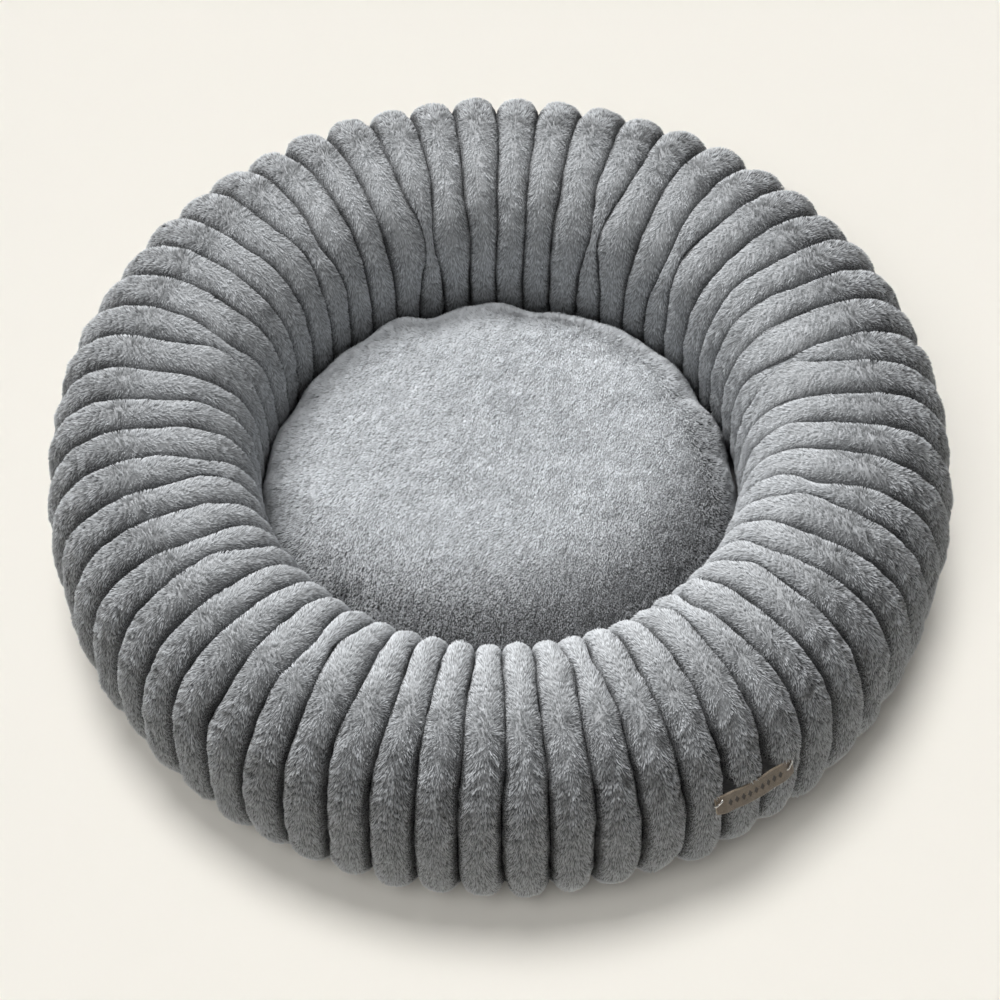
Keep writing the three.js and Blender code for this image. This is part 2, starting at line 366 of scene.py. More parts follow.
def cad_places(name):
    """The points of a CAD node."""
    return np.array([vertex.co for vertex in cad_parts[name].data.vertices])


def round_box(name):
    """A CAD node's range of radius, azimuth in radians and height; it spans less than half a turn."""
    places = cad_places(name)
    middle = places.mean(0)
    base = math.atan2(middle[1], middle[0])
    radius, azimuth = polar(places)
    azimuth = base + np.angle(np.exp(1j * (azimuth - base)))
    return [(part.min(), part.max()) for part in (radius, azimuth, places[:, 2])]


# ---- Places given by the frame ----

bed_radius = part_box("bolster_cover")[1].x
bed_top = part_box("bolster_cover")[1].z
section_middle = (bed_radius - TUBE_WIDTH / 2, (bed_top + TUBE_BOTTOM) / 2)
cushion_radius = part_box("cushion_top")[1].x
cushion_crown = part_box("cushion_top")[1].z
cushion_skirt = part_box("cushion_top")[0].z
label_radii, label_azimuths, label_heights = round_box("label_strip")


# ---- Materials ----

def node(tree, kind, inputs=None, **settings):
    """A new shader node; an input is a value, or the output of another node that it is linked to."""
    made = tree.nodes.new("ShaderNode" + kind)
    for name, value in settings.items():
        setattr(made, name, value)
    for name, value in (inputs or {}).items():
        if isinstance(value, bpy.types.NodeSocket):
            tree.links.new(value, made.inputs[name])
        else:
            made.inputs[name].default_value = value
    return made


def maths(tree, operation, *values):
    """The result of a Math node."""
    return node(tree, "Math", dict(enumerate(values)), operation=operation).outputs[0]


def weighed(tree, start, *terms):
    """A start value, plus each term's value times its weight."""
    for value, weight in terms:
        start = maths(tree, "MULTIPLY_ADD", value, weight, start)
    return start


def ramp(tree, factor, *stops):
    """A colour ramp; each stop is its position and its colour, red, green and blue."""
    made = node(tree, "ValToRGB", {"Fac": factor})
    elements = made.color_ramp.elements
    while len(elements) < len(stops):
        elements.new(1)
    for element, (position, colour) in zip(elements, stops):
        element.position = position
        element.color = (*colour, 1)
    return made.outputs["Color"]


def noise(tree, vector, scale, detail=3, roughness=0.55):
    """Noise over a vector, with one scale or with one for each axis."""
    if isinstance(scale, tuple):
        vector = node(tree, "Mapping", {"Vector": vector, "Scale": scale}).outputs[0]
        scale = 1.0
    inputs = {"Vector": vector, "Scale": scale, "Detail": detail, "Roughness": roughness}
    return node(tree, "TexNoise", inputs).outputs["Fac"]


def marked(tree, name, output="Fac"):
    """What is marked on the vertices or the tufts: a value, or with the output Vector, a vector."""
    return node(tree, "Attribute", attribute_name=name).outputs[output]


def own_place(tree):
    """The piece's own coordinates."""
    return node(tree, "TexCoord").outputs["Object"]


def new_material(name, **values):
    """A material with constant values on its Principled shader, and its tree and shader."""
    material = bpy.data.materials.new(name)
    material.use_nodes = True
    surface = material.node_tree.nodes["Principled BSDF"]
    for key, value in values.items():
        surface.inputs[key.replace("_", " ")].default_value = value
    return material, material.node_tree, surface


def finish_material(tree, surface, colour, roughness, height, distance, strength):
    """Gives a shader its colour and roughness, and a bump whose height is a distance in metres."""
    bump = node(tree, "Bump", {"Height": height, "Distance": distance, "Strength": strength})
    tree.links.new(colour, surface.inputs["Base Color"])
    tree.links.new(roughness, surface.inputs["Roughness"])
    tree.links.new(bump.outputs["Normal"], surface.inputs["Normal"])


def grey(value, cool=0.03):
    """A grey whose blue is a little stronger than its red."""
    return (value * (1 - cool), value, value * (1 + cool))


def plush_material(name, dark, light):
    """Short dense pile seen as a surface: streaks along the pile's lean, with painted shade where the
    depth mark is high, down in the grooves and elsewhere.
    """
    material, tree, surface = new_material(name, Sheen_Weight=0.25, Sheen_Roughness=0.5)
    lean = marked(tree, "lean", "Vector")
    # the depth mark says where to paint shade: the grooves, the outer wall, the cushion's rim and its
    # darker nap
    depth = marked(tree, "depth")
    streaks = noise(tree, lean, (1 / 0.006, 1 / 0.0012, 1), detail=4)
    tufts = noise(tree, lean, (90, 260, 1))
    patches = noise(tree, own_place(tree), 28.0, detail=2)
    mixed = weighed(tree, 0, (streaks, 0.65), (tufts, 0.35), (patches, 0.16), (depth, -0.45))
    colour = ramp(tree, mixed, (0.22, grey(dark)), (0.52, grey((dark + light) / 2)), (0.78, grey(light)))
    rough = weighed(tree, 0.72, (streaks, 0.2))
    finish_material(tree, surface, colour, rough, mixed, 0.0016, 0.9)
    return material


def pile_material(name, root, middle, tip):
    """A tuft of pile: dark at its root as painted shade deep in the pile, light at its tip, and each tuft
    a little different; its marked tone also carries painted shade and light.
    """
    material, tree, surface = new_material(name, Roughness=0.8, Specular_IOR_Level=0.08)
    through = node(tree, "BsdfTranslucent")
    mix = node(tree, "MixShader", {0: 0.12, 1: surface.outputs[0], 2: through.outputs[0]})
    tree.links.new(mix.outputs[0], tree.nodes["Material Output"].inputs["Surface"])
    rise = node(tree, "HairInfo").outputs["Intercept"]
    # the marked tone is random tone plus painted shade and painted light
    mixed = weighed(tree, -0.2, (marked(tree, "tone_and_painted_shade"), 0.5), (rise, 0.8))
    colour = ramp(tree, mixed, (0.05, grey(root)), (0.40, grey(middle)), (0.80, grey(tip)))
    tree.links.new(colour, surface.inputs["Base Color"])
    tree.links.new(colour, through.inputs["Color"])
    own = node(tree, "NewGeometry").outputs["Normal"]
    facing = marked(tree, "facing", "Vector")
    blended = node(tree, "Mix", {0: 0.92, 4: own, 5: facing}, data_type="VECTOR").outputs[1]
    normal = node(tree, "VectorMath", {0: blended}, operation="NORMALIZE").outputs[0]
    tree.links.new(normal, surface.inputs["Normal"])
    return material


def woven_material(name, dark, light, pitch=WEAVE, twill=False):
    """Plain or twill weave over the cloth's own coordinates, with threads of uneven tone and painted shade
    where they dip under.
    """
    material, tree, surface = new_material(name, Sheen_Weight=0.15)
    place = marked(tree, "cloth", "Vector")
    scaled = node(tree, "VectorMath", {0: place, "Scale": math.pi / pitch}, operation="SCALE")
    u, v = node(tree, "SeparateXYZ", {0: scaled.outputs[0]}).outputs[:2]
    if twill:
        over = maths(tree, "SINE", maths(tree, "ADD", u, v))
        thread = maths(tree, "ABSOLUTE", maths(tree, "SINE", maths(tree, "MULTIPLY", u, 2.0)))
        height = weighed(tree, 0.32, (over, 0.32), (thread, 0.35))
    else:
        over = maths(tree, "MULTIPLY", maths(tree, "SINE", u), maths(tree, "SINE", v))
        height = weighed(tree, 0.5, (over, 0.5))
    fibres = noise(tree, place, 2600.0, detail=2)
    slubs = noise(tree, place, (40, 900, 1))
    # the weave's height is painted shade between threads; fibres and slubs are the threads' own uneven
    # tone
    shade = weighed(tree, 0, (height, 0.5), (fibres, 0.25), (slubs, 0.3))
    colour = ramp(tree, shade, (0.2, grey(dark, 0)), (0.85, grey(light, 0)))
    rough = weighed(tree, 0.7, (fibres, 0.2))
    finish_material(tree, surface, colour, rough, height, 0.00025, 0.8)
    return material


def fibre_material(name, shade, scale):
    """Matted fibres, as in felt and loose stuffing."""
    material, tree, surface = new_material(name, Sheen_Weight=0.2)
    place = own_place(tree)
    strands = noise(tree, place, scale, detail=6, roughness=0.7)
    clumps = noise(tree, place, scale / 12, detail=2)
    mixed = weighed(tree, 0, (strands, 0.7), (clumps, 0.3))
    colour = ramp(tree, mixed, (0.3, grey(shade * 0.7, 0)), (0.7, grey(shade, 0)))
    rough = weighed(tree, 0.85, (clumps, 0.1))
    finish_material(tree, surface, colour, rough, mixed, 0.001, 0.7)
    return material


def leather_material():
    """Taupe faux leather: fine pebbled grain, paler along worn edges, darker in pressed marks."""
    material, tree, surface = new_material("label_leather", Coat_Weight=0.08)
    place = marked(tree, "cloth", "Vector")
    pebbles = node(tree, "TexVoronoi", {"Vector": place, "Scale": 1500.0}, feature="DISTANCE_TO_EDGE")
    raised = maths(tree, "MULTIPLY", pebbles.outputs["Distance"], 4.0)
    grain = maths(tree, "MINIMUM", raised, 1.0)
    mottling = noise(tree, place, 170.0, detail=4)
    wear = marked(tree, "wear")
    pressed = marked(tree, "pressed")
    shade = weighed(tree, 0, (mottling, 0.5), (grain, 0.22), (wear, 0.4), (pressed, -0.45))
    colour = ramp(
        tree, shade,
        (0.02, (0.035, 0.028, 0.022)),
        (0.35, (0.158, 0.124, 0.090)),
        (0.62, (0.26, 0.208, 0.152)),
        (0.95, (0.52, 0.44, 0.35)),
    )
    rough = weighed(tree, 0.33, (mottling, 0.25))
    finish_material(tree, surface, colour, rough, grain, 0.00012, 0.6)
    return material


def metal_material(name, colour, roughness):
    """Plated metal with fine brushing and small dull spots."""
    material, tree, surface = new_material(name, Metallic=1.0)
    place = own_place(tree)
    brushed = noise(tree, place, (200, 3000, 3000))
    spots = noise(tree, place, 400.0)
    shade = weighed(tree, 0, (brushed, 0.4), (spots, 0.6))
    dull = tuple(0.75 * part for part in colour)
    tone = ramp(tree, shade, (0.3, dull), (0.7, colour))
    rough = weighed(tree, roughness - 0.12, (spots, 0.25))
    finish_material(tree, surface, tone, rough, brushed, 0.00003, 0.4)
    return material


def plastic_material(name, dark, light, roughness):
    """Moulded nylon, thread or soft rubber with a faint unevenness."""
    material, tree, surface = new_material(name)
    uneven = noise(tree, own_place(tree), 500.0)
    colour = ramp(tree, uneven, (0.3, grey(dark)), (0.7, grey(light)))
    rough = weighed(tree, roughness - 0.1, (uneven, 0.2))
    finish_material(tree, surface, colour, rough, uneven, 0.0001, 0.5)
    return material


# ---- Pile ----

def add_pile(name, roots, tips, bow, facing, tone_and_painted_shade, material, parent):
    """Tufts of pile as hair curves from root to tip, with their middles moved by bow.

    Facing is the way that the surface under each tuft faces.
    """
    taper = np.array([1.0, 1.0, 0.8, 0.25])
    share = np.linspace(0, 1, len(taper))[None, :, None]
    points = roots[:, None] + (tips - roots)[:, None] * share
    points += bow[:, None] * (4 * share * (1 - share))
    data = bpy.data.hair_curves.new(name)
    data.add_curves([len(taper)] * len(roots))
    data.attributes["position"].data.foreach_set("vector", points.astype(np.float32).ravel())
    marks = (
        ("radius", "FLOAT", "POINT", "value", TUFT_RADIUS * np.tile(taper, len(roots))),
        ("tone_and_painted_shade", "FLOAT", "CURVE", "value", tone_and_painted_shade),
        ("facing", "FLOAT_VECTOR", "CURVE", "vector", facing.ravel()),
    )
    for mark_name, kind, domain, field, values in marks:
        made = data.attributes.new(mark_name, kind, domain)
        made.data.foreach_set(field, values.astype(np.float32))
    data.materials.append(material)
    pile = bpy.data.objects.new(name, data)
    bpy.context.scene.collection.objects.link(pile)
    pile.parent = parent


def sample_grid(fields, row, column, wraps):
    """Each field's values at fractional rows and columns of the grid."""
    rows, columns = fields[0].shape[:2]
    i = np.clip(np.floor(row).astype(int), 0, rows - 2)
    if wraps:
        j = np.floor(column).astype(int) % columns
        k = (j + 1) % columns
    else:
        j = np.clip(np.floor(column).astype(int), 0, columns - 2)
        k = j + 1
    a = (row - i)[:, None]
    b = (column - np.floor(column))[:, None]
    found = []
    for field in fields:
        low = field[i, j] * (1 - b) + field[i, k] * b
        high = field[i + 1, j] * (1 - b) + field[i + 1, k] * b
        found.append(low * (1 - a) + high * a)
    return found


# ---- Bolster ----

def signed_power(value, power):
    """A power that keeps the value's sign."""
    return np.sign(value) * np.abs(value) ** power


def section_curve(turn):
    """Radius and height of the plush's backing at each turn round the bolster's section."""
    angle = np.radians(turn)
    half_width = TUBE_WIDTH / 2 - PILE
    half_height = (bed_top - TUBE_BOTTOM) / 2 - PILE
    radius = section_middle[0] + half_width * signed_power(np.cos(angle), 2 / SQUARENESS)
    height = section_middle[1] + half_height * signed_power(np.sin(angle), 2 / SQUARENESS)
    return radius, height


def section_lengths(turns):
    """Length along the section from the first turn to each turn."""
    radius, height = section_curve(turns)
    return np.concatenate([[0], np.cumsum(np.hypot(np.diff(radius), np.diff(height)))])


def even_turns(count):
    """Turns from seam to seam that are evenly spaced along the section's curve."""
    fine = np.linspace(OUTER_SEAM, INNER_SEAM, 2000)
    length = section_lengths(fine)
    return np.interp(np.linspace(0, length[-1], count), length, fine)


def outer_wall(turns):
    """From 0 at the crest to 1 on the bolster's outer wall."""
    return smooth_step(95, 60, turns)


def rib_azimuth(place):
    """Azimuth in radians of a place counted in ribs from the front middle."""
    even = -math.pi / 2 + math.radians(RIB_START) + 2 * math.pi * place / RIBS
    return even - FRONT_CROWDING * np.cos(even)


def rib_edges(turns):
    """Where each groove runs, counted in ribs, for each turn round the section."""
    grooves = np.arange(RIBS)[:, None]
    edges = grooves + 0.08 * Noise(11)(stacked(grooves * 1.7, turns[None] / 30, 0.0))
    azimuths = np.degrees(rib_azimuth(np.arange(RIBS) + 0.5))
    for azimuth, turn, reach, strength in PINCHES:
        rib = int(np.argmin(np.abs(turned_apart(azimuths, azimuth))))
        pull = 0.47 * strength * np.exp(-(((turns - turn) / reach) ** 2))
        edges[rib] += pull
        edges[(rib + 1) % RIBS] -= pull
    return edges


def groove_strength(turns):
    """How deep each groove is, from 0 to 1, for each turn round the section."""
    azimuths = np.degrees(rib_azimuth(np.arange(RIBS)))[:, None]
    ribs = np.arange(RIBS)[:, None]
    strength = 0.95 + 0.05 * Noise(12)(stacked(ribs * 1.3, turns[None] / 25, 0.0))
    for azimuth, reach, first, lost in FLAT_GROOVES:
        near = np.exp(-((turned_apart(azimuths, azimuth) / reach) ** 4))
        ragged = 14 * Noise(13)(stacked(ribs * 1.9, 0.0, 0.0))
        flat = smooth_step(first, first + 28, turns[None] + ragged)
        strength = strength * (1 - lost * near * flat)
    return strength


def bolster_grid():
    """The bolster's points as rows round the section and columns round the ring, and how deep in a groove
    each lies, for painted shade in the grooves.
    """
    turns = even_turns(SHOWN_ROWS + 1)
    radius, height = section_curve(turns)
    slope = unit(stacked(np.gradient(radius), np.gradient(height)))
    out_r, out_z = slope[:, 1], -slope[:, 0]
    edges = rib_edges(turns)
    width = np.vstack([edges[1:], edges[:1] + RIBS]) - edges
    across = -np.cos(np.pi * np.arange(RIB_STEPS) / RIB_STEPS)
    place = edges[:, None, :] + (across[None, :, None] + 1) / 2 * width[:, None, :]
    azimuth = rib_azimuth(place)
    pitch = 2 * math.pi / RIBS * radius
    length = section_lengths(turns)
    from_seam = np.minimum(length, length[-1] - length)
    fade = smooth_step(0, GROOVE_END, from_seam)
    depth = RIB_DEPTH * width * pitch[None] * fade
    lowered = 0.5 * (RIB_DEPTH * pitch * fade - depth)
    ribs = np.arange(RIBS)[:, None]
    plump = 0.0013 * Noise(5)(stacked(ribs * 2.3, turns[None] / 40, 0.5))
    round_off = 1 - np.sqrt(np.clip(1 - across**2, 0, 1))
    strength = groove_strength(turns)
    next_strength = np.roll(strength, -1, 0)
    sides = np.where(across[None, :, None] < 0, strength[:, None], next_strength[:, None])
    groove = depth[:, None] * round_off[None, :, None] * sides
    inset = (lowered - plump)[:, None] + groove
    r = radius[None, None] - out_r[None, None] * inset
    z = height[None, None] - out_z[None, None] * inset
    grid = at_azimuth(r, azimuth, z)
    grid = grid.reshape(RIBS * RIB_STEPS, len(turns), 3).transpose(1, 0, 2)
    # painted shade, full down in the grooves
    painted_groove_shade = (round_off[None, :, None] * sides).reshape(RIBS * RIB_STEPS, len(turns)).T
    return grid, painted_groove_shade, turns


def close_underside(grid):
    """The grid with rows added along the underside, from the inner seam back to the outer one."""
    first, last = grid[0], grid[-1]
    rows = []
    for i in range(1, HIDDEN_ROWS):
        share = i / HIDDEN_ROWS
        row = last + (first - last) * share
        row[:, 2] += 0.004 * math.sin(math.pi * share)
        rows.append(row)
    return np.concatenate([grid, np.array(rows)])


def pile_lean(grid, turns):
    """Coordinates along and across the bolster pile's lean, which fans out from each rib's middle."""
    length = section_lengths(turns)
    crest = np.interp(90, turns, length)
    down = np.abs(length - crest)[:, None]
    share = (np.arange(grid.shape[1]) % RIB_STEPS) / RIB_STEPS
    side = (share - 0.5) * 2 * math.pi * polar(grid)[0] / RIBS
    rib = np.arange(grid.shape[1]) // RIB_STEPS
    along = 0.8 * down + 0.6 * np.abs(side)
    across = 0.8 * np.abs(side) - 0.6 * down
    return stacked(along, across, 7.0 * rib[None] + 3.0 * (side > 0))


def pile_relief(grid, normals, lean):
    """The grid with the soft lumps that tufts of pile make."""
    long_lumps = Noise(21)(lean / np.array([0.014, 0.0055, 1.0]))
    round_lumps = Noise(22)(grid, 0.011)
    return grid + normals * (0.0006 * long_lumps + 0.0006 * round_lumps)[..., None]


def around_label(roots, near_groove):
    """Which tufts aren't pressed flat behind the label, and how far each is in its shadow.

    The label bridges the grooves, so pile is pressed less over them, and they are dark above it.
    """
    radius, azimuth = polar(roots)
    height = roots[:, 2]
    first, last = label_azimuths
    bottom, top = label_heights
    beside = (azimuth < first - 0.008) | (azimuth > last + 0.006)
    off = (height < bottom + 0.001) | (height > top - 0.0005 + 0.0025 * near_groove)
    in_well = radius < bed_radius - TUBE_WIDTH / 2
    between = smooth_step(first, first + 0.01, azimuth) * smooth_step(last, last - 0.01, azimuth)
    above = smooth_step(bottom, top, height) * smooth_step(top + 0.009, top + 0.002, height)
    return beside | off | in_well, between * above * near_groove


def add_bolster_pile(grid, turns, lean, parent):
    """Pile over the whole shown face: it stands out, leaning down the section and towards the grooves."""
    rows = len(turns) - 1
    row = rng.uniform(0, rows, BOLSTER_TUFTS)
    column = rng.uniform(0, grid.shape[1], BOLSTER_TUFTS)
    radius = polar(grid[np.floor(row).astype(int), 0])[0]
    keep = rng.uniform(0, 1, BOLSTER_TUFTS) < radius / bed_radius
    row, column = row[keep], column[keep]
    fields = [grid, *grid_normals(grid), lean]
    roots, normal, around, along, lean = sample_grid(fields, row, column, True)
    normal = unit(normal)
    turn = np.interp(row, np.arange(rows + 1), turns)
    side = -np.cos(np.pi * (column % RIB_STEPS) / RIB_STEPS)
    down = np.tanh((turn - 82) / 12)
    near_groove = smooth_step(0.45, 0.95, np.abs(side))
    wild = 1 - 0.75 * near_groove
    lift = (0.50 + 0.16 * Noise(4)(roots, 0.006)) * wild
    tufting = Noise(31, parts=3).vector(roots, 0.0026)
    swirl = Noise(32, parts=3).vector(roots, 0.011)
    direction = (
        normal * lift[:, None]
        + along * (0.65 * down)[:, None]
        + around * (0.5 * side)[:, None]
        + (0.10 * tufting + 0.08 * swirl) * wild[:, None]
        + rng.normal(0, 0.04, roots.shape)
    )
    length = 1.35 * PILE * rng.uniform(0.85, 1.1, len(roots)) * (1 - 0.45 * near_groove)
    tips = roots + unit(direction) * length[:, None]
    bow = (normal * 0.10 - along * (0.05 * down)[:, None]) * length[:, None]
    clumps = Noise(8)(lean / [0.0052, 0.0012, 1.0])
    tufts = Noise(9, parts=3).vector(lean / [0.0055, 0.0014, 1.0])
    # masks for painted shade on the outer wall and painted light on the inner wall
    shaded_outer_wall = outer_wall(turn)
    inside = smooth_step(110, 150, turn)
    # where the outer wall's tufts face more unevenly and get more painted shade in their gaps
    speckled = (1 - smooth_step(0.35, 0.85, np.abs(side))) * shaded_outer_wall * smooth_step(-25, 35, turn)
    facing = unit(normal + (0.32 + 0.48 * speckled)[:, None] * tufts)
    # painted shade between clumps of pile
    gap_shade = np.minimum(clumps + 0.1, 0)
    clear, shade = around_label(roots, near_groove)
    tone_and_painted_shade = 0.77 + (0.15 + 0.45 * speckled) * gap_shade + rng.uniform(-0.06, 0.06, len(roots))
    # painted light on the inner wall; painted shade on the outer wall, near the grooves and in the label's
    # shadow
    tone_and_painted_shade += 0.1 * inside - 0.3 * shaded_outer_wall - 1.1 * smooth_step(0.55, 1.0, np.abs(side)) - shade
    parts = [part[clear] for part in (roots - normal * TUFT_ROOT, tips, bow, facing, tone_and_painted_shade)]
    add_pile("bolster_pile", *parts, pile, parent)


def make_bolster():
    """The ribbed plush cover with its pile, and the bag and the stuffing inside it."""
    grid, depth, turns = bolster_grid()
    normals = grid_normals(grid)[0]
    lean = pile_lean(grid, turns)
    grid = pile_relief(grid, normals, lean)
    # painted shade: the outer wall is marked darker as well as the grooves
    depth = depth + 0.4 * outer_wall(turns)[:, None]
    closed = close_underside(grid)
    hidden = len(closed) - len(grid)
    faces = grid_faces(*closed.shape[:2], close_rows=True)
    bolster = new_piece("bolster_plush", closed, faces, plush)
    mark(bolster, "lean", np.concatenate([lean, np.repeat(lean[-1:], hidden, 0)]).reshape(-1, 3))
    mark(bolster, "depth", np.concatenate([depth, np.repeat(depth[-1:], hidden, 0)]).ravel())
    fit(bolster, "bed", "plush", "bolster_cover")
    add_bolster_pile(grid, turns, lean, bolster)
    rings = (
        ("bolster_inner_bag", BAG_DEPTH, 0.0004, lining, "lining_cloth", "bolster_lining"),
        ("bolster_stuffing", STUFFING_DEPTH, 0.0015, stuffing, "fibre_fill", "bolster_fill"),
    )
    for name, inset, lumps, material, slot, cad_node in rings:
        inner = (grid - normals * inset)[::2, ::2]
        make_inner_ring(name, inner, lumps, material, slot, cad_node)


def make_inner_ring(name, grid, lumps, material, slot, cad_node):
    """The bag or the stuffing inside the ribs."""
    grid = grid + (lumps * Noise(41)(grid, 0.009))[..., None] * grid_normals(grid)[0]
    closed = close_underside(grid)
    rows, columns = closed.shape[:2]
    ring = new_piece(name, closed, grid_faces(rows, columns, close_rows=True), material)
    flat = stacked(np.arange(columns)[None] * 0.0045, np.arange(rows)[:, None] * 0.006, 0.0)
    mark(ring, "cloth", flat.reshape(-1, 3))
    fit(ring, "bed", slot, cad_node)


# ---- Base ----

def disc_sheet(name, radius, height, thickness, material, ripple, seed, facing_up=True):
    """A disc of cloth lying flat, with its edge slightly rippled by its seam."""
    flat = disc_grid(72) * radius
    share, azimuth = polar(flat)
    share = share / radius
    waves = Noise(seed)(at_azimuth(9, azimuth, share * 3))
    lift = ripple * (0.5 + 0.5 * waves) * smooth_step(0.5, 1.0, share)
    grid = stacked(flat[..., 0], flat[..., 1], height + lift)
    if not facing_up:
        grid = grid[:, ::-1]
        flat = flat[:, ::-1]
    sheet = cloth_sheet(name, grid, thickness, material, flat)
    return sheet


def make_base():
    """The base's cloths and felt, with the grip dots below them and the binding round them."""
    low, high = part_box("base_cloth")
    bottom = low.z + GRIP_HEIGHT
    underside = disc_sheet(
        "base_underside", high.x, bottom, BASE_THICKNESS, base_cloth, 0.00005, 51, facing_up=False
    )
    fit(underside, "bed", "base_fabric", "base_cloth")
    make_grip_dots(high.x - GRIP_MARGIN)
    low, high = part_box("base_wadding")
    slack = 0.0006
    thickness = high.z - low.z - slack
    wadding = disc_sheet("base_wadding_felt", high.x, high.z - slack, thickness, felt, 0.0004, 52)
    fit(wadding, "bed", "felt", "base_wadding")
    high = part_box("base_top_cloth")[1]
    top = high.z - 0.0002
    floor_cloth = disc_sheet(
        "well_floor_cloth", high.x, top, WELL_FLOOR_THICKNESS, lining, 0.0002, 53
    )
    fit(floor_cloth, "bed", "lining_cloth", "base_top_cloth")
    make_binding()


def make_grip_dots(reach):
    """Rows of small rubber dots that keep the bed from sliding."""
    sides = 8
    angle = 2 * math.pi * np.arange(sides) / sides
    ring = at_azimuth(GRIP_RADIUS, angle, 0.0)
    crown = at_azimuth(0.7 * GRIP_RADIUS, angle, -0.8 * GRIP_HEIGHT)
    dome = np.concatenate([ring, crown, [[0, 0, -GRIP_HEIGHT]]])
    faces = [tuple(range(sides))]
    for j in range(sides):
        k = (j + 1) % sides
        faces.append((j, sides + j, sides + k, k))
        faces.append((sides + j, 2 * sides, sides + k))
    parts = []
    row_pitch = 0.866 * GRIP_PITCH
    rows = int(reach / row_pitch)
    for i in range(-rows, rows + 1):
        for j in range(-rows, rows + 1):
            x = (j + 0.5 * (i % 2)) * GRIP_PITCH
            y = i * row_pitch
            if math.hypot(x, y) < reach:
                parts.append((dome + [x, y, GRIP_HEIGHT], faces))
    dots = new_piece("base_grip_dots", *joined(parts), rubber)
    fit(dots, "bed", "base_fabric")


def make_binding():
    """The tape that binds the base to the bolster, and the stitches along it."""
    low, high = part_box("base_binding")
    outer = high.x
    inner = float(polar(cad_places("base_binding"))[0].min())
    middle_r, middle_z = (outer + inner) / 2, (low.z + high.z) / 2
    half_r, half_z = (outer - inner) / 2, (high.z - low.z) / 2
    turn = np.radians(np.arange(0, 360, 30))
    section_r = middle_r + half_r * signed_power(np.cos(turn), 0.7)
    section_z = middle_z + half_z * signed_power(np.sin(turn), 0.7)
    azimuth = np.radians(np.arange(0, 360, 1.0))
    stitches = round(2 * math.pi * outer / STITCH_PITCH)
    pucker = 0.0002 * np.cos(azimuth * stitches)
    radius = section_r[:, None] + pucker[None]
    grid = at_azimuth(radius, azimuth[None], section_z[:, None])
    faces = grid_faces(*grid.shape[:2], close_rows=True)
    binding = new_piece("base_edge_binding", grid, faces, tape)
    flat = stacked(azimuth[None] * outer, turn[:, None] * 0.002, 0.0)
    mark(binding, "cloth", flat.reshape(-1, 3))
    fit(binding, "bed", "tape_fabric", "base_binding")
    share = np.linspace(-0.5, 0.5, 5)
    radius = outer + 0.0003 - 0.0012 * share**2
    height = middle_z + 0.0004 * share
    parts = []
    for k in range(stitches):
        place = 2 * math.pi * (k + 0.7 * share) / stitches
        parts.append(sweep(at_azimuth(radius, place, height), STITCH_RADIUS, 6))
    piece = new_piece("base_binding_stitches", *joined(parts), thread)
    fit(piece, "bed", "tape_fabric")


# ---- Cushion ----

def cushion_profile(share):
    """Radius and height of the plush panel at a share of the way from its middle to its edge."""
    angle = np.radians(np.linspace(90, 0, 300))
    widest = cushion_radius + CUSHION_OVERHANG
    crown = cushion_crown - CUSHION_PILE
    radius = widest * np.cos(angle) ** (2 / CUSHION_SQUARENESS)
    height = CUSHION_WAIST + (crown - CUSHION_WAIST) * np.sin(angle) ** (2 / CUSHION_SQUARENESS)
    angle = np.radians(np.linspace(0, 90, 60))[1:]
    radius = np.append(radius, cushion_radius + CUSHION_OVERHANG * np.cos(angle))
    height = np.append(height, CUSHION_WAIST - (CUSHION_WAIST - cushion_skirt) * np.sin(angle))
    length = np.concatenate([[0], np.cumsum(np.hypot(np.diff(radius), np.diff(height)))])
    along = share * length[-1]
    return np.interp(along, length, radius), np.interp(along, length, height), length[-1]


def cushion_start():
    """The plush panel as a grid of points before the cloth settles, and the flat panel it was cut from."""
    disc = disc_grid(CUSHION_CELLS)
    share, azimuth = polar(disc)
    radius, height, length = cushion_profile(share)
    puckers = Noise(61)(at_azimuth(6.5, azimuth, share * 1.5))
    slack = Noise(62)(stacked(disc[..., 0] * 2.6, disc[..., 1] * 2.6, 0.0))
    push = 0.0022 * puckers * smooth_step(0.55, 0.9, share) * (1 - smooth_step(0.93, 1.0, share))
    sink = np.zeros_like(share)
    for place, reach, deep in PRESSES:
        near = np.exp(-((turned_apart(np.degrees(azimuth), place) / reach) ** 2))
        sink += deep * near * smooth_step(0.5, 0.86, share) * (1 - smooth_step(0.9, 1.0, share))
    radius = radius + push
    height = height + push - 0.9 * sink + 0.0016 * slack * (1 - share**4)
    flat = disc * length * PANEL_EXCESS
    return at_azimuth(radius, azimuth, height), flat, share


